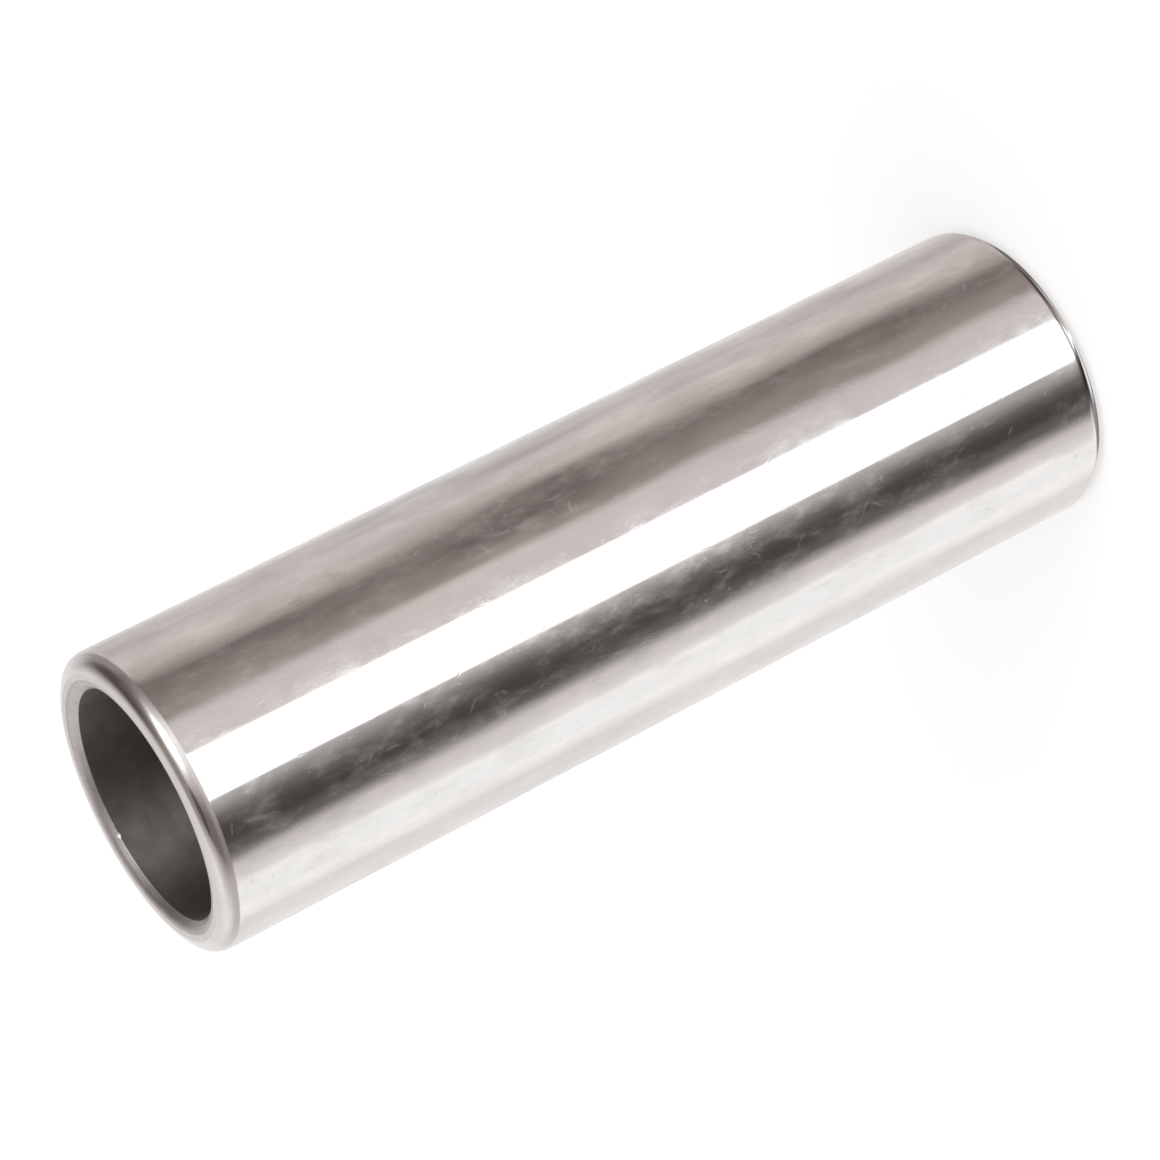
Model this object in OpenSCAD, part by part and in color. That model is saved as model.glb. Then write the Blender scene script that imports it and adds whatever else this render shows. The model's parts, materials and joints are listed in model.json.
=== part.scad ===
// Hollow piston pin, turned from one bar of steel, hardened, ground and polished.
// It stands on one end, with its axis along +Z and the origin in the middle of its lower end.

/* [Body] */
// Diameter of the ground bearing surface, which fits the piston's bosses and the rod's eye
pin_d = 22; // [12:0.5:40]
// Length over the two end faces
pin_l = 73.5; // [30:0.5:140]
// Thickness of the wall between the bore and the bearing surface
wall_t = 2.5; // [2.4:0.1:5]

/* [Ends] */
// Radius of the rounded outer edges
edge_r = 1.2; // [0.3:0.1:1.5]
// Width and depth of the 45 degree chamfers at the mouths of the bore
mouth_c = 0.5; // [0.1:0.1:0.8]

/* [Hidden] */
// Sides of a round shape
$fn = 128;
// Colour of the polished steel
steel = [0.78, 0.76, 0.74];
// Radius of the bearing surface
pin_r = pin_d / 2;
// Radius of the bore
bore_r = pin_r - wall_t;
// Centre of the edge rounding, measured from the axis
edge_x = pin_r - edge_r;

// Wall section before the bore is chamfered: X is the distance from the axis, Y the height
module rounded_section() {
    translate([bore_r, 0])
        square([edge_x - bore_r, pin_l]);
    translate([bore_r, edge_r])
        square([wall_t, pin_l - 2 * edge_r]);
    for (height = [edge_r, pin_l - edge_r])
        translate([edge_x, height])
            circle(r = edge_r);
}

// Corner that the chamfer takes off at the lower mouth of the bore
module mouth_corner() {
    polygon([[bore_r, 0], [bore_r + mouth_c, 0], [bore_r, mouth_c]]);
}

// Wall section with both mouths chamfered
module wall_section() {
    difference() {
        rounded_section();
        mouth_corner();
        translate([0, pin_l])
            mirror([0, 1])
                mouth_corner();
    }
}

module piston_pin() {
    color(steel)
        rotate_extrude()
            wall_section();
}

piston_pin();
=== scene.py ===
import json
import math
import bpy
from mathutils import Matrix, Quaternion, Vector


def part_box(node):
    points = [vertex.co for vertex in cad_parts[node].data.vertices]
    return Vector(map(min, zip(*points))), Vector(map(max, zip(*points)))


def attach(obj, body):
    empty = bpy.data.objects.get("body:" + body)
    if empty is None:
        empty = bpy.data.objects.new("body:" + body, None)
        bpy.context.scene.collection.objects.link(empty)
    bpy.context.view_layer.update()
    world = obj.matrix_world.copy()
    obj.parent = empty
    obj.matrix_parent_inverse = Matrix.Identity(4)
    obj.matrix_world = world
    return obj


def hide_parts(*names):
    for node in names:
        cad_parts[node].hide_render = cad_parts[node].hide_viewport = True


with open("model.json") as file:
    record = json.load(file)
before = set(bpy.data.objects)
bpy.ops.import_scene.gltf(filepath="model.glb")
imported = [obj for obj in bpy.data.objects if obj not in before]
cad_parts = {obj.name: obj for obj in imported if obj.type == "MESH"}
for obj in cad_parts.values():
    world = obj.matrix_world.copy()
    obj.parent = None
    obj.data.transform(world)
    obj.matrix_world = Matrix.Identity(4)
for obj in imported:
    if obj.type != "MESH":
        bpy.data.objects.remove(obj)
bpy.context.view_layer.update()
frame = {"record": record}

# the pin's sizes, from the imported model
mmPerM = 1000
mounts = {mount["name"]: mount["dims"] for mount in frame["record"]["mounts"]}
pinLow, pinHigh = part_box("piston_pin")
pinLength = pinHigh.z - pinLow.z
pinRadius = mounts["bearing_surface"]["r_mm"] / mmPerM
boreRadius = mounts["bore"]["r_mm"] / mmPerM
edgeRound = (pinLength - mounts["bearing_surface"]["length_mm"] / mmPerM) / 2
mouthChamfer = (pinLength - mounts["bore"]["length_mm"] / mmPerM) / 2
pinMiddle = Vector((0, 0, pinLow.z + pinLength / 2))
pinSize = [size * mmPerM for size in (2 * pinRadius, pinLength, 2 * boreRadius)]
print("frame: pin {:.1f} x {:.1f} mm, bore {:.1f} mm".format(*pinSize))


# node sheets: a wire is one socket that takes part in sums
class Wire:
    def __init__(self, sheet, socket):
        self.sheet = sheet
        self.socket = socket

    def __add__(self, other):
        return self.sheet.math("ADD", self, other)

    def __radd__(self, other):
        return self.sheet.math("ADD", other, self)

    def __sub__(self, other):
        return self.sheet.math("SUBTRACT", self, other)

    def __rsub__(self, other):
        return self.sheet.math("SUBTRACT", other, self)

    def __mul__(self, other):
        return self.sheet.math("MULTIPLY", self, other)

    def __rmul__(self, other):
        return self.sheet.math("MULTIPLY", other, self)

    def __truediv__(self, other):
        return self.sheet.math("DIVIDE", self, other)

    def __rtruediv__(self, other):
        return self.sheet.math("DIVIDE", other, self)


class Sheet:
    def __init__(self, owner):
        owner.use_nodes = True
        self.tree = owner.node_tree
        self.tree.nodes.clear()

    # any node: its type, its settings, which come first, and what its sockets hold
    def add(self, kind, settings=None, sockets=None, out=0):
        node = self.tree.nodes.new(kind)
        for name, value in (settings or {}).items():
            if name == "stops":
                self.setStops(node.color_ramp, value)
            else:
                setattr(node, name, value)
        for name, value in (sockets or {}).items():
            if isinstance(value, Wire):
                self.tree.links.new(value.socket, node.inputs[name])
            else:
                node.inputs[name].default_value = value
        return Wire(self, node.outputs[out]) if node.outputs else None

    def setStops(self, ramp, stops):
        while len(ramp.elements) < len(stops):
            ramp.elements.new(1.0)
        for element, (place, colour) in zip(ramp.elements, stops):
            element.position = place
            element.color = (*colour, 1.0)

    # all outputs of a wire's node
    def outputs(self, wire):
        return [Wire(self, socket) for socket in wire.socket.node.outputs]

    def math(self, operation, *values):
        return self.add("ShaderNodeMath", {"operation": operation}, dict(enumerate(values)))

    def vector(self, operation, first, second):
        return self.add("ShaderNodeVectorMath", {"operation": operation}, {0: first, 1: second})

    def axes(self, vector):
        return self.outputs(self.add("ShaderNodeSeparateXYZ", {}, {"Vector": vector}))

    def join(self, x, y, z=0.0):
        return self.add("ShaderNodeCombineXYZ", {}, {"X": x, "Y": y, "Z": z})

    # 0 below low, 1 above high, smooth between; low may be the larger one
    def step(self, value, low, high):
        if low > high:
            return 1 - self.step(value, high, low)
        return self.add(
            "ShaderNodeMapRange",
            {"interpolation_type": "SMOOTHSTEP"},
            {"Value": value, "From Min": low, "From Max": high},
        )

    # 1 from low to high, 0 beyond, with soft edges
    def span(self, value, low, high, edge):
        return self.step(value, low - edge, low + edge) * self.step(value, high + edge, high - edge)

    def noise(self, vector, scale, detail=2.0, roughness=0.5, warp=0.0, stretch=None):
        if stretch:
            vector = self.vector("MULTIPLY", vector, stretch)
        return self.add(
            "ShaderNodeTexNoise",
            {"noise_dimensions": "3D"},
            {"Vector": vector, "Scale": scale, "Detail": detail, "Roughness": roughness, "Distortion": warp},
            "Fac",
        )

    def blend(self, mask, first, second):
        node = self.add("ShaderNodeMix", {"data_type": "RGBA"}, {"Factor": mask}).socket.node
        for name, colour in (("A", first), ("B", second)):
            socket = [s for s in node.inputs if s.name == name and s.type == "RGBA"][0]
            if isinstance(colour, Wire):
                self.tree.links.new(colour.socket, socket)
            else:
                socket.default_value = (*colour, 1.0)
        return Wire(self, [s for s in node.outputs if s.type == "RGBA"][0])

    # a colour made lighter or darker by a value
    def dim(self, colour, level):
        return self.vector("MULTIPLY", colour, self.join(level, level, level))

    def bump(self, height):
        return self.add("ShaderNodeBump", {}, {"Height": height, "Distance": 1.0, "Strength": 1.0})

    def steel(self, sockets):
        return self.add("ShaderNodeBsdfPrincipled", {}, {"Metallic": 1.0, **sockets})

    def show(self, shader):
        self.add("ShaderNodeOutputMaterial", {}, {"Surface": shader})


# places on the pin in millimetres, with the angle round it, the height and the distance from its axis
def pinPlaces(sheet):
    metres = sheet.add("ShaderNodeTexCoord", {}, {}, "Object")
    place = sheet.vector("MULTIPLY", metres, (mmPerM, mmPerM, mmPerM))
    x, y, z = sheet.axes(place)
    return place, sheet.math("ARCTAN2", x, 0 - y), z, sheet.math("SQRT", x * x + y * y)


groundSteel = {
    "colour": (0.88, 0.865, 0.85),
    "stainColour": (0.84, 0.828, 0.81),
    "stain": {"scale": 0.3, "detail": 4.0, "roughness": 0.6},
    "stainFrom": (0.42, 0.68),
    "polish": 0.05,        # roughness of the mirror finish
    "dulled": 0.12,        # roughness that full haze adds to it
    "hazeSpread": 0.36,    # roughness of the haze that lies over the mirror finish
    "pitSpread": 0.20,     # what a pit adds to that
    "smudgeGloss": 0.16,   # what a smudge takes from it
    # the haze: clouds drawn out along the pin, with wisps and a soft grain in them
    "clouds": {"scale": 0.32, "detail": 3.0, "roughness": 0.55, "warp": 0.6, "stretch": (1, 1, 0.45)},
    "wisps": {"scale": 1.2, "detail": 4.0, "roughness": 0.55, "warp": 0.35, "stretch": (1, 1, 0.4)},
    "grain": {"scale": 2.2, "detail": 2.0, "roughness": 0.5, "warp": 0.5, "stretch": (1, 1, 0.5)},
    "wispShare": 0.45,
    "hazeFrom": (0.42, 0.66),
    "thickFrom": (0.57, 0.70),
    "thickMore": 0.6,
    "grainLeast": 0.6,
    "grainMore": 0.8,
    "hazeLeast": 0.06,     # share of haze on the cleanest spots
    "hazeMore": 0.50,      # what the cloudiest spots add
    "hazeMost": 0.75,      # no spot has a larger share of haze
    "edgeHaze": 0.15,      # how much of it the rounded edges keep
    "edgeRough": 0.06,     # roughness that the turned edges add
    "groundFrom": (0.8, 1.3),  # where the ground surface starts, in edge roundings from the end
    # rub marks: millimetres from one to the next, reach, width, share of places that have one
    # and how many of those are faint
    "rubs": [
        {"apart": 4.4, "reach": 1.5, "width": 0.20, "share": 0.5, "faint": 0.2, "shift": (73.0, 51.1, 0)},
        {"apart": 2.7, "reach": 0.9, "width": 0.16, "share": 0.5, "faint": 0.2, "shift": (0, 0, 0)},
        {"apart": 1.6, "reach": 0.5, "width": 0.12, "share": 0.5, "faint": 0.2, "shift": (17.0, 11.9, 0)},
    ],
    "smudge": {
        "apart": 6.6, "reach": 2.4, "width": 0.75, "share": 0.7, "faint": 0.6, "shift": (41.0, 28.7, 0),
    },
    "shortest": 0.3,       # shortest mark, as a share of its layer's reach
    "fullReach": 0.2,      # share of a mark's reach over which it doesn't fade
    "slant": 55,           # how far marks may lean from the pin's axis, in degrees
    "bend": 2.4,           # how far they curve, in millimetres
    "sway": {"Scale": 0.35, "Detail": 1.0},
    "streaks": {"scale": 4.5, "detail": 3.0, "roughness": 0.6, "warp": 0.8, "stretch": (1, 1, 0.35)},
    "streakFrom": (0.42, 0.62),
    "pits": {"apart": 4.2, "size": 0.13, "core": 0.4, "share": 0.3, "faint": 0.5},
    "seamFade": 0.2,       # marks fade this close to the seam of the unrolled surface, in radians
    "rubHaze": 0.42,
    "smudgeHaze": 0.85,
    "pitHaze": 0.45,
    "waves": {"scale": 0.16, "detail": 2.0, "stretch": (1, 1, 0.5)},
    "waveDepth": 8e-6,
    "rubDepth": 1e-6,
    "smudgeDepth": 1.5e-6,
}


def cellsOf(sheet, unrolled, apart):
    return sheet.outputs(sheet.add(
        "ShaderNodeTexVoronoi",
        {"voronoi_dimensions": "2D", "feature": "F1"},
        {"Vector": unrolled, "Scale": 1 / apart, "Randomness": 1.0},
    ))


# which cells have a mark, by a value of their own: 0 for none, 1 for a full one
def picked(sheet, pick, mark):
    return sheet.step(pick, 1 - mark["share"], 1 - mark["share"] * mark["faint"])


# one soft rub mark in each cell, at its own slant and length
def rubMarks(sheet, unrolled, rub):
    look = groundSteel
    moved = sheet.vector("ADD", unrolled, rub["shift"])
    _, colour, centre = cellsOf(sheet, moved, rub["apart"])[:3]
    dx, dy, _ = sheet.axes(sheet.vector("SUBTRACT", moved, centre))
    pick, lean, length = sheet.outputs(sheet.add("ShaderNodeSeparateColor", {}, {"Color": colour}))
    turn = (lean * 2 - 1) * math.radians(look["slant"])
    cosine = sheet.math("COSINE", turn)
    sine = sheet.math("SINE", turn)
    reach = look["shortest"] + (1 - look["shortest"]) * length
    along = sheet.math("ABSOLUTE", dy * cosine + dx * sine) / reach
    across = sheet.math("ABSOLUTE", dx * cosine - dy * sine)
    ends = sheet.step(along, rub["reach"], rub["reach"] * look["fullReach"])
    return sheet.step(across, rub["width"], 0.0) * ends * picked(sheet, pick, rub)


def pits(sheet, unrolled, pit):
    distance, colour = cellsOf(sheet, unrolled, pit["apart"])[:2]
    pick = sheet.outputs(sheet.add("ShaderNodeSeparateColor", {}, {"Color": colour}))[0]
    size = pit["size"] / pit["apart"]
    return sheet.step(distance, size, size * pit["core"]) * picked(sheet, pick, pit)


# the bearing surface: a mirror finish under the cloudy haze, rub marks and pits of handling
def makeGroundSteel():
    look = groundSteel
    material = bpy.data.materials.new("groundSteel")
    sheet = Sheet(material)
    place, turn, height, _ = pinPlaces(sheet)

    # the haze, which the rounded edges have less of
    drift = sheet.noise(place, **look["clouds"]) * (1 - look["wispShare"])
    drift = drift + sheet.noise(place, **look["wisps"]) * look["wispShare"]
    cloudy = sheet.step(drift, *look["hazeFrom"]) + sheet.step(drift, *look["thickFrom"]) * look["thickMore"]
    grained = look["grainLeast"] + look["grainMore"] * sheet.noise(place, **look["grain"])
    fromMiddle = sheet.math("ABSOLUTE", height - pinMiddle.z * mmPerM)
    fromEnd = (pinLength / 2 * mmPerM - fromMiddle) / (edgeRound * mmPerM)
    ground = sheet.step(fromEnd, *look["groundFrom"])
    kept = look["edgeHaze"] + ground * (1 - look["edgeHaze"])
    haze = (look["hazeLeast"] + cloudy * look["hazeMore"]) * grained * kept

    # the marks, on the unrolled surface
    unrolled = sheet.join(turn * (pinRadius * mmPerM), height)
    sway = sheet.add("ShaderNodeTexNoise", {}, {"Vector": place, **look["sway"]}, "Color")
    swayed = sheet.vector("MULTIPLY", sway, (look["bend"], look["bend"], 0))
    curved = sheet.vector("ADD", unrolled, swayed)
    joined = sheet.step(sheet.math("ABSOLUTE", turn), math.pi, math.pi - look["seamFade"])
    rubs = rubMarks(sheet, curved, look["rubs"][0])
    for rub in look["rubs"][1:]:
        rubs = sheet.math("MAXIMUM", rubs, rubMarks(sheet, curved, rub))
    rubs = rubs * joined
    streaks = sheet.step(sheet.noise(place, **look["streaks"]), *look["streakFrom"])
    smudges = rubMarks(sheet, curved, look["smudge"]) * streaks * joined
    spots = pits(sheet, unrolled, look["pits"]) * joined

    # two lobes of steel, mixed by the share of haze
    waves = sheet.noise(place, **look["waves"]) * look["waveDepth"]
    stain = sheet.step(sheet.noise(place, **look["stain"]), *look["stainFrom"])
    common = {
        "Base Color": sheet.blend(stain, look["colour"], look["stainColour"]),
        "Normal": sheet.bump(waves - rubs * look["rubDepth"] - smudges * look["smudgeDepth"]),
    }
    turned = (1 - ground) * look["edgeRough"]
    spread = look["hazeSpread"] + spots * look["pitSpread"] - smudges * look["smudgeGloss"]
    clear = sheet.steel({**common, "Roughness": look["polish"] + haze * look["dulled"] + turned})
    hazy = sheet.steel({**common, "Roughness": spread})
    marks = rubs * look["rubHaze"] + smudges * look["smudgeHaze"] + spots * look["pitHaze"]
    share = sheet.math("MINIMUM", haze + marks * kept, look["hazeMost"])
    sheet.show(sheet.add("ShaderNodeMixShader", {}, {0: share, 1: clear, 2: hazy}))
    return material


faceSteel = {
    "colour": (0.75, 0.735, 0.715),
    "darkColour": (0.67, 0.65, 0.63),
    "polish": 0.16,
    "ringRough": 0.10,
    "ringDepth": 2e-6,
    "ringsPerMm": 14.0,
}
chamferSteel = {
    "colour": (0.66, 0.64, 0.62),
    "darkColour": (0.57, 0.55, 0.53),
    "polish": 0.38,
    "ringRough": 0.08,
    "ringDepth": 8e-7,
    "ringsPerMm": 10.0,
}
turnedMarks = {
    "rings": {"scale": 1.0, "detail": 3.0, "roughness": 0.6},
    "ringFrom": (0.35, 0.7),
    "wander": {"scale": 0.25, "detail": 1.0},
    "wanderReach": 4,      # how much the rings change on their way round
    "patches": {"scale": 0.9, "detail": 4.0, "roughness": 0.6},
    "patchFrom": (0.4, 0.75),
}


# end faces and chamfers: fine rings left by the turning tool
def makeTurnedSteel(name, look):
    material = bpy.data.materials.new(name)
    sheet = Sheet(material)
    place, _, height, radius = pinPlaces(sheet)
    across = look["ringsPerMm"]
    wander = sheet.noise(place, **turnedMarks["wander"]) * turnedMarks["wanderReach"]
    rings = sheet.noise(sheet.join(radius * across, height * across, wander), **turnedMarks["rings"])
    patches = sheet.step(sheet.noise(place, **turnedMarks["patches"]), *turnedMarks["patchFrom"])
    sheet.show(sheet.steel({
        "Base Color": sheet.blend(patches, look["colour"], look["darkColour"]),
        "Roughness": look["polish"] + sheet.step(rings, *turnedMarks["ringFrom"]) * look["ringRough"],
        "Normal": sheet.bump(rings * look["ringDepth"]),
    }))
    return material


boreSteel = {
    "colour": (0.36, 0.348, 0.335),
    "scaleColour": (0.31, 0.298, 0.285),
    "marks": {"scale": 1.0, "detail": 3.0, "roughness": 0.6, "stretch": (0.25, 0.25, 9)},
    "scale": {"scale": 0.5, "detail": 4.0, "roughness": 0.6},
    "markShare": 0.15,     # how much the marks show in the scale
    "scaleFrom": (0.36, 0.64),
    "polish": 0.68,
    "scaleRough": 0.06,
    "grain": 0.75,         # how much the boring marks, which run round, spread light along the bore
    "grainTurn": 0.25,
    "grainDepth": 3e-7,
}


# the bore: dull, with the fine marks of boring and a little scale from hardening
def makeBoreSteel():
    look = boreSteel
    material = bpy.data.materials.new("boreSteel")
    sheet = Sheet(material)
    place = pinPlaces(sheet)[0]
    marks = sheet.noise(place, **look["marks"])
    scale = sheet.noise(place, **look["scale"])
    dark = sheet.step(scale * (1 - look["markShare"]) + marks * look["markShare"], *look["scaleFrom"])
    sheet.show(sheet.steel({
        "Base Color": sheet.blend(dark, look["colour"], look["scaleColour"]),
        "Roughness": look["polish"] + dark * look["scaleRough"],
        "Anisotropic": look["grain"],
        "Anisotropic Rotation": look["grainTurn"],
        "Normal": sheet.bump(marks * look["grainDepth"]),
    }))
    return material


pinShape = {
    "columns": 288,          # faces round the pin
    "edgeSteps": 14,         # faces across a rounded edge
    "bodyRows": 40,
    "boreRows": 30,
    "endRows": 4,            # faces across an end face, a chamfer and the bore's lip
    "mouthEase": 3.4e-4,     # how far the corner between end face and chamfer is eased
    "boreEase": 2.5e-5,      # the same between chamfer and bore
    "cornerSteps": 6,
    "lip": 4e-4,             # the bore's narrow rows below its edge
    "hold": 3e-5,            # narrow rows beside a curve, which keep flat faces flat
    "mapRoom": (1, 3, 3, 0.35),  # room on the map for a millimetre of body, end face, chamfer and bore
    # a knock on the edge of the upper mouth, with more columns close together over the degrees to each side
    "nick": {"angle": 187, "along": 2.7e-4, "across": 9e-5, "depth": 4.5e-5},
    "nickColumns": 12,
    "nickSpan": 2.4,
    "nickRoom": 1.1,         # no other column is closer than this many spans
}
bodyZone, faceZone, chamferZone, boreZone = range(4)


def straightRun(start, end, rows):
    hold = pinShape["hold"] / (end - start).length
    shares = [0.0] + [hold + (1 - 2 * hold) * row / rows for row in range(rows + 1)]
    return [start.lerp(end, share) for share in shares]


def easedCorner(before, corner, after, reach):
    start = corner + (before - corner).normalized() * reach
    end = corner + (after - corner).normalized() * reach
    steps = pinShape["cornerSteps"]
    curve = []
    for step in range(steps):
        share = step / steps
        curve.append(start.lerp(corner, share).lerp(corner.lerp(end, share), share))
    return curve, end


# half the wall's section, as (distance from the axis, height over the middle), with the zone of each stretch
def halfSection():
    top = pinLength / 2
    rows = pinShape["endRows"]
    roundCentre = Vector((pinRadius - edgeRound, top - edgeRound))
    bodyMiddle = Vector((pinRadius, 0))
    bodyEnd = Vector((pinRadius, top - edgeRound))
    faceStart = Vector((roundCentre.x, top))
    mouth = Vector((boreRadius + mouthChamfer, top))
    boreStart = Vector((boreRadius, top - mouthChamfer))
    boreMiddle = Vector((boreRadius, 0))
    mouthCurve, chamferStart = easedCorner(faceStart, mouth, boreStart, pinShape["mouthEase"])
    boreCurve, wallStart = easedCorner(mouth, boreStart, boreMiddle, pinShape["boreEase"])
    lipEnd = Vector((boreRadius, wallStart.y - pinShape["lip"]))
    edge = []
    for step in range(pinShape["edgeSteps"]):
        angle = math.pi / 2 * step / pinShape["edgeSteps"]
        edge.append(roundCentre + Vector((math.cos(angle), math.sin(angle))) * edgeRound)
    stretches = [
        (bodyZone, straightRun(bodyMiddle, bodyEnd, pinShape["bodyRows"] // 2)),
        (bodyZone, edge),
        (faceZone, straightRun(faceStart, mouthCurve[0], rows)),
        (chamferZone, mouthCurve),
        (chamferZone, straightRun(chamferStart, boreCurve[0], rows)),
        (chamferZone, boreCurve),
        (boreZone, straightRun(wallStart, lipEnd, rows)[:-1]),
        (boreZone, straightRun(lipEnd, boreMiddle, pinShape["boreRows"] // 2)),
    ]
    return [(point, zone) for zone, points in stretches for point in points]


# angles of the columns round the pin, closer together at the nick
def columnAngles():
    even = [2 * math.pi * column / pinShape["columns"] for column in range(pinShape["columns"])]
    middle = math.radians(pinShape["nick"]["angle"])
    span = math.radians(pinShape["nickSpan"])
    count = pinShape["nickColumns"]
    close = [middle + span * (2 * column / count - 1) for column in range(count + 1)]
    return sorted([angle for angle in even if abs(angle - middle) > span * pinShape["nickRoom"]] + close)


def makePin():
    upper = halfSection()
    # the lower half runs the other way
    section = upper + [(Vector((point.x, -point.y)), zone) for point, zone in upper[-2:0:-1]]
    angles = columnAngles()
    columns = len(angles)
    rows = len(section)
    zoneOf = []
    for row in range(rows):
        zoneOf.append(section[row if row < len(upper) - 1 else (row + 1) % rows][1])

    nick = pinShape["nick"]
    nickPlace = Vector((boreRadius, pinLength / 2 - mouthChamfer))
    vertices = []
    knocked = set()
    for point, _ in section:
        for angle in angles:
            aside = (angle - math.radians(nick["angle"])) * boreRadius
            away = math.hypot(aside / nick["along"], (point - nickPlace).length / nick["across"])
            dent = max(0.0, 1 - away * away) ** 2
            if dent > 0:
                knocked.add(len(vertices))
            out = point.x + nick["depth"] * dent
            vertices.append((out * math.sin(angle), -out * math.cos(angle), pinMiddle.z + point.y))

    # rows get room on the map by their length and zone
    room = [0.0]
    for row in range(rows):
        length = (section[(row + 1) % rows][0] - section[row][0]).length
        room.append(room[-1] + length * pinShape["mapRoom"][zoneOf[row]])

    faces = []
    mapped = []
    zones = []
    for row in range(rows):
        following = (row + 1) % rows
        low = room[row] / room[-1]
        high = room[row + 1] / room[-1]
        for column in range(columns):
            beside = (column + 1) % columns
            face = (row * columns + column, row * columns + beside,
                    following * columns + beside, following * columns + column)
            faces.append(face)
            zones.append(faceZone if knocked.intersection(face) else zoneOf[row])  # a fresh dent is bare
            left = angles[column] / (2 * math.pi)
            right = angles[column + 1] / (2 * math.pi) if column + 1 < columns else 1.0
            mapped += [left, low, right, low, right, high, left, high]

    mesh = bpy.data.meshes.new("pin_body")
    mesh.from_pydata(vertices, [], faces)
    for material in (
        makeGroundSteel(),
        makeTurnedSteel("faceSteel", faceSteel),
        makeTurnedSteel("chamferSteel", chamferSteel),
        makeBoreSteel(),
    ):
        mesh.materials.append(material)
    mesh.polygons.foreach_set("material_index", zones)
    mesh.polygons.foreach_set("use_smooth", [True] * len(faces))
    mesh.uv_layers.new(name="OFBake").data.foreach_set("uv", mapped)
    mesh.update()
    pin = bpy.data.objects.new("pin_body", mesh)
    bpy.context.scene.collection.objects.link(pin)
    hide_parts("piston_pin")
    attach(pin, "root")
    print(f"pin: {len(vertices)} vertices, {len(faces)} faces")


makePin()


# what a ray is: a wire for each kind, 1 for rays of that kind
def raysOf(sheet, *kinds):
    return [sheet.add("ShaderNodeLightPath", {}, {}, f"Is {kind} Ray") for kind in kinds]


floorLook = {
    "size": 6.0,
    "colour": (0.92, 0.92, 0.92),
    "ownWhite": 0.6,  # share of plain white that the camera sees
}


def makeFloor():
    half = floorLook["size"] / 2
    corners = [(x * half, y * half, pinLow.z) for x, y in ((-1, -1), (1, -1), (1, 1), (-1, 1))]
    mesh = bpy.data.meshes.new("floor")
    mesh.from_pydata(corners, [], [(0, 1, 2, 3)])
    material = bpy.data.materials.new("paleFloor")
    sheet = Sheet(material)
    camera, through = raysOf(sheet, "Camera", "Transmission")
    seen = sheet.math("MINIMUM", camera + through, 1)
    lit = sheet.add("ShaderNodeBsdfDiffuse", {}, {"Color": (*floorLook["colour"], 1.0)})
    white = sheet.add("ShaderNodeEmission", {}, {"Color": (1, 1, 1, 1), "Strength": 1.0})
    sheet.show(sheet.add("ShaderNodeMixShader", {}, {0: seen * floorLook["ownWhite"], 1: lit, 2: white}))
    mesh.materials.append(material)
    floor = bpy.data.objects.new("floor", mesh)
    bpy.context.scene.collection.objects.link(floor)
    floor.visible_glossy = False  # the polished pin shows the tent's panels all the way down
    print("floor: ready")


makeFloor()

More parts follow.
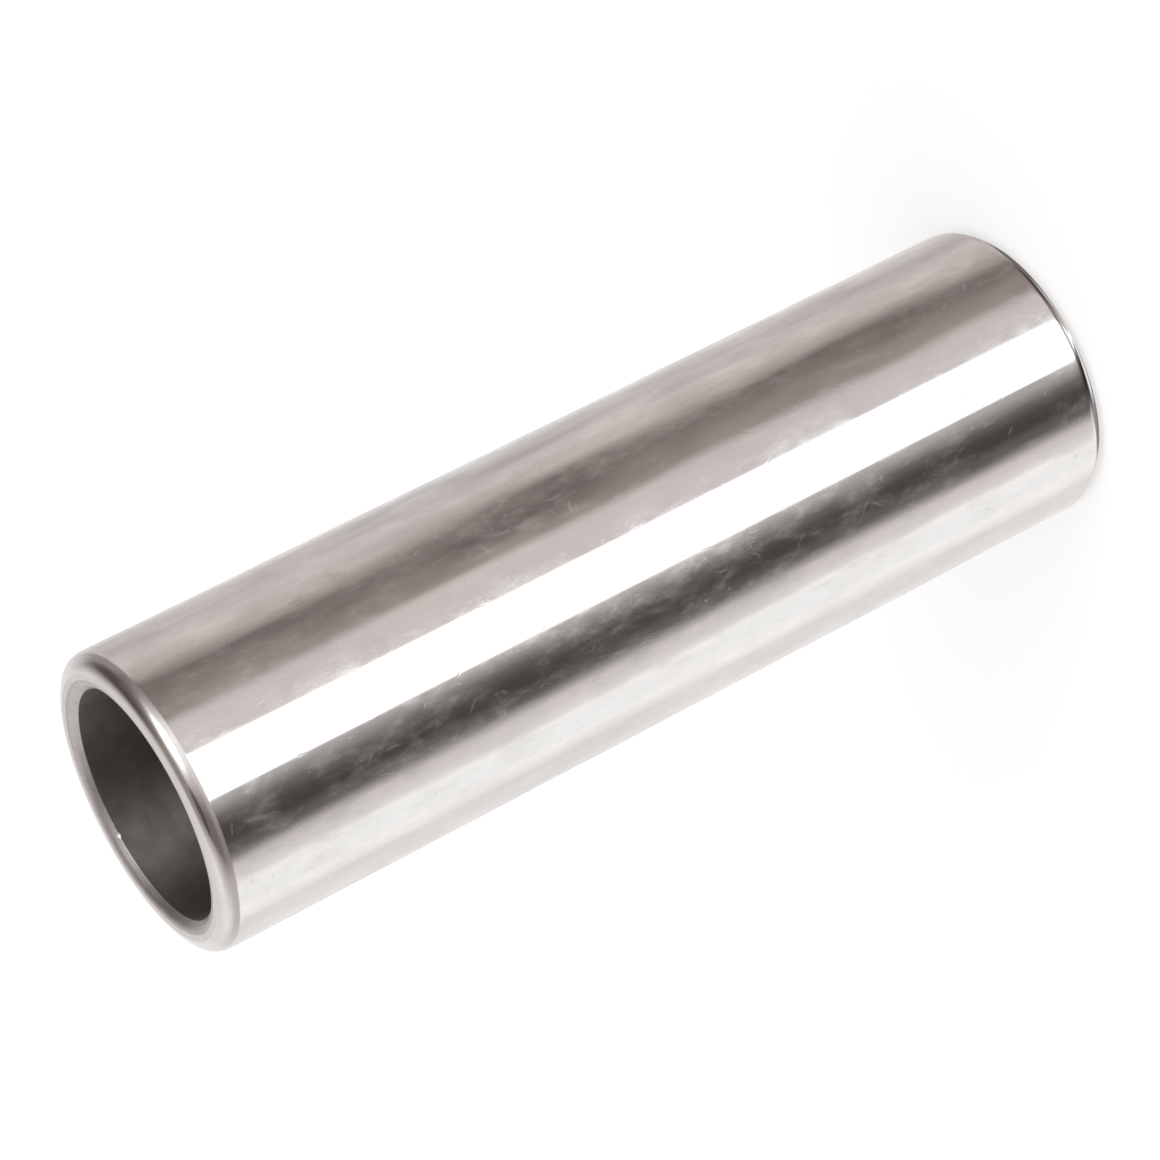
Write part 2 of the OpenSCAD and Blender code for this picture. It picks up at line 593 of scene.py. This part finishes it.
# the tent round the pin: panels by azimuth from the camera, in degrees, with their level and warmth
tent = {
    "low": [
        (-180, 0.79, 0.1), (-162, 0.89, 0.15), (-142, 0.84, 0.2), (-124, 0.82, 0.25), (-116, 0.98, 0.2),
        (-108, 1.06, 0.15), (-85, 1.08, 0.15), (-79.5, 0.82, 0.3), (-67, 0.67, 0.35), (-61, 0.29, 0.5),
        (-57, 0.13, 0.5), (-52, 0.110, 0.6), (-46, 0.059, 0.6), (-38, 0.073, 0.6), (-30, 0.146, 0.6),
        (-20, 0.45, 0.4), (0, 0.45, 0.4), (1, 0.66, 0.4), (39.5, 0.655, 0.45), (43, 0.53, 0.5),
        (47, 0.33, 0.75), (60, 0.275, 0.9), (68, 0.22, 0.9), (79, 0.19, 0.9), (86, 0.385, 0.65),
        (93, 0.545, 0.55), (107, 0.66, 0.45), (124, 0.54, 0.45), (138, 0.57, 0.4), (150, 0.67, 0.3),
        (164, 0.86, 0.15), (180, 0.79, 0.1),
    ],
    "middle": [
        (-180, 0.95, 0.05), (-165, 0.88, 0.1), (-150, 0.76, 0.1), (-135, 0.65, 0.25), (-120, 0.57, 0.3),
        (-90, 0.55, 0.4), (-75, 0.48, 0.5), (-60, 0.28, 0.6), (-45, 0.25, 0.5), (-30, 0.34, 0.5),
        (-15, 0.52, 0.3), (0, 0.71, 0.3), (15, 0.88, 0.1), (32, 1.03, 0.15), (45, 0.82, 0.3),
        (60, 0.43, 0.5), (75, 0.28, 0.6), (90, 0.22, 0.8), (105, 0.30, 0.7), (120, 0.31, 0.6),
        (135, 0.35, 0.5), (150, 0.61, 0.2), (165, 0.79, 0.1), (180, 0.95, 0.05),
    ],
    "high": [
        (-180, 0.72, 0.35), (-150, 0.84, 0.25), (-135, 0.89, 0.2), (-120, 0.84, 0.25), (-105, 0.72, 0.4),
        (-90, 0.57, 0.45), (-75, 0.43, 0.55), (-60, 0.17, 0.9), (-30, 0.18, 0.9), (-15, 0.34, 0.8),
        (0, 0.58, 0.3), (13, 0.95, 0.1), (48, 0.95, 0.1), (60, 0.70, 0.3), (75, 0.27, 0.6), (90, 0.15, 0.8),
        (105, 0.11, 0.9), (120, 0.09, 1.0), (135, 0.10, 0.9), (150, 0.30, 0.6), (165, 0.57, 0.4),
        (180, 0.72, 0.35),
    ],
    "middleFrom": (-11, -6),       # elevations between which one row of panels gives way to the next
    "highFrom": (6, 28),
    "darkFrom": (55, 80),
    "warmTint": (1, 0.815, 0.76),  # colour of a panel of warmth 1
    "dark": (0.29, 0.25, 0.24),    # overhead
    "opening": {"from": -108, "to": -85, "edge": 3},  # where the pin shows the white background
    "skirt": {"from": -68, "to": -47, "edge": 4, "level": 0.3},  # the tent's lower hem, in shade
    "strip": {"from": -17.4, "to": 17.6, "edge": 0.8, "top": -7, "level": 1.8},
    "rearStrip": {"from": -7, "to": 7, "edge": 1.0, "top": -4, "level": 1.5},  # straight behind the pin
    "stripFade": 4,                # degrees over which a strip's top fades
    "window": {"azimuth": 37, "elevation": 42, "wide": 32, "tall": 22, "core": 0.0, "level": 4.5},
    # the cloth's folds move the panels' edges by these degrees, and by more on its slack side
    "folds": {"move": 9.0, "slackMove": 14.0, "across": 1.5, "up": 0.3, "scale": 1.0},
    # and its level varies by so much, and more on its slack side
    "mottle": {"vary": 0.08, "slackVary": 0.28, "across": 3.4, "up": 1.7, "from": (0.35, 0.65)},
    "mottleNoise": {"scale": 1.0, "detail": 4.0, "roughness": 0.6},
    "slackFrom": (26, 64),
    "slackTo": (156, 136),
    "shades": [                    # a fold in shadow, and a dark flag overhead
        {"azimuth": 64, "elevation": -23.2, "wide": 14, "tall": 1.7, "core": 0.6, "depth": 0.28},
        {"azimuth": -38, "elevation": 67, "wide": 40, "tall": 16, "core": 0.6, "depth": 0.6},
    ],
}


def panelStops(panels):
    stops = []
    for azimuth, level, warmth in panels:
        colour = [level * (1 + (tint - 1) * warmth) for tint in tent["warmTint"]]
        stops.append((azimuth / 360 + 0.5, colour))
    return stops


# 1 within the core of an oval patch of the tent, 0 beyond its edge
def inOval(sheet, azimuth, elevation, oval):
    beside = (azimuth - oval["azimuth"]) / oval["wide"]
    above = (elevation - oval["elevation"]) / oval["tall"]
    return sheet.step(sheet.math("SQRT", beside * beside + above * above), 1.0, oval["core"])


def inStrip(sheet, azimuth, elevation, strip):
    fade = tent["stripFade"]
    below = sheet.step(elevation, strip["top"] + fade, strip["top"] - fade)
    return sheet.span(azimuth, strip["from"], strip["to"], strip["edge"]) * below


def makeTent():
    world = bpy.data.worlds.new("tent")
    bpy.context.scene.world = world
    sheet = Sheet(world)
    x, y, z = sheet.axes(sheet.add("ShaderNodeTexCoord", {}, {}, "Generated"))
    azimuth = sheet.math("ARCTAN2", x, 0 - y) * math.degrees(1)
    elevation = sheet.math("ARCSINE", z) * math.degrees(1)

    # three rows of panels in cloth that hangs in soft folds, dark overhead
    folds = tent["folds"]
    hang = sheet.join(x * folds["across"], y * folds["across"], elevation * folds["up"])
    fold = sheet.noise(hang, folds["scale"]) - 0.5
    slack = sheet.step(azimuth, *tent["slackFrom"]) * sheet.step(azimuth, *tent["slackTo"])
    hung = azimuth + fold * (folds["move"] + slack * folds["slackMove"])
    place = hung / 360 + 0.5
    low, middle, high = [
        sheet.add("ShaderNodeValToRGB", {"stops": panelStops(tent[name])}, {"Fac": place})
        for name in ("low", "middle", "high")
    ]
    aboveLow = sheet.step(elevation, *tent["middleFrom"])
    panels = sheet.blend(aboveLow, low, middle)
    panels = sheet.blend(sheet.step(elevation, *tent["highFrom"]), panels, high)
    panels = sheet.blend(sheet.step(elevation, *tent["darkFrom"]), panels, tent["dark"])

    # lighter and darker places in the cloth, and what shades it
    mottle = tent["mottle"]
    cloth = sheet.join(x * mottle["across"], y * mottle["across"], elevation * mottle["up"])
    clouds = sheet.step(sheet.noise(cloth, **tent["mottleNoise"]), *mottle["from"]) - 0.5
    level = 1 + clouds * (mottle["vary"] + slack * mottle["slackVary"])
    for shade in tent["shades"]:
        level = level * (1 - inOval(sheet, azimuth, elevation, shade) * shade["depth"])
    panels = sheet.dim(panels, level)

    # the lamps, seen through the cloth, and its hem
    strip = tent["strip"]
    panels = sheet.blend(inStrip(sheet, azimuth, elevation, strip), panels, (strip["level"],) * 3)
    window = tent["window"]
    panels = sheet.blend(inOval(sheet, azimuth, elevation, window), panels, (window["level"],) * 3)
    rear = tent["rearStrip"]
    behind = 180 - sheet.math("ABSOLUTE", azimuth)
    panels = sheet.blend(inStrip(sheet, behind, elevation, rear), panels, (rear["level"],) * 3)
    skirt = tent["skirt"]
    shaded = sheet.span(elevation, skirt["from"], skirt["to"], skirt["edge"])
    panels = sheet.dim(panels, 1 - shaded * (1 - skirt["level"]))

    # the white background, which the pin shows through the opening
    gap = tent["opening"]
    opening = sheet.span(hung, gap["from"], gap["to"], gap["edge"]) * (1 - aboveLow) * (1 - shaded)
    camera, through, glossy = raysOf(sheet, "Camera", "Transmission", "Glossy")
    white = sheet.math("MINIMUM", camera + through + glossy * opening, 1)
    shown = sheet.blend(white, panels, (1, 1, 1))
    back = sheet.add("ShaderNodeBackground", {}, {"Color": shown, "Strength": 1.0})
    sheet.add("ShaderNodeOutputWorld", {}, {"Surface": back})
    print("tent: ready")


makeTent()

softKey = {"strength": 2.2, "angle": 80, "tilt": (12, -8, 0)}


def makeSoftKey():
    lamp = bpy.data.lights.new("softKey", "SUN")
    lamp.energy = softKey["strength"]
    lamp.angle = math.radians(softKey["angle"])
    key = bpy.data.objects.new("softKey", lamp)
    key.rotation_euler = [math.radians(turn) for turn in softKey["tilt"]]
    key.visible_glossy = False
    bpy.context.scene.collection.objects.link(key)
    print("soft key: ready")


makeSoftKey()

# the photo's view: the pin stands, and the camera leans over
view = {
    "aim": Vector((0.0003, 0, 0.00103)),  # from the pin's middle
    "distance": 0.3069,
    "elevation": 23.32,
    "roll": -116.81,
    "lens": 137.72,
    "sensor": 36,
}


def makeCamera():
    camera = bpy.data.objects.new("camera", bpy.data.cameras.new("camera"))
    camera.data.sensor_width = view["sensor"]
    camera.data.lens = view["lens"]
    rise = math.radians(view["elevation"])
    back = Vector((0, -math.cos(rise), math.sin(rise)))
    camera.location = pinMiddle + view["aim"] + back * view["distance"]
    level = (-back).to_track_quat("-Z", "Y")
    camera.rotation_euler = (level @ Quaternion((0, 0, 1), math.radians(view["roll"]))).to_euler()
    bpy.context.scene.collection.objects.link(camera)
    bpy.context.scene.camera = camera
    print("camera: ready")


makeCamera()
bpy.context.scene.view_settings.view_transform = "Standard"

print("scene ready")
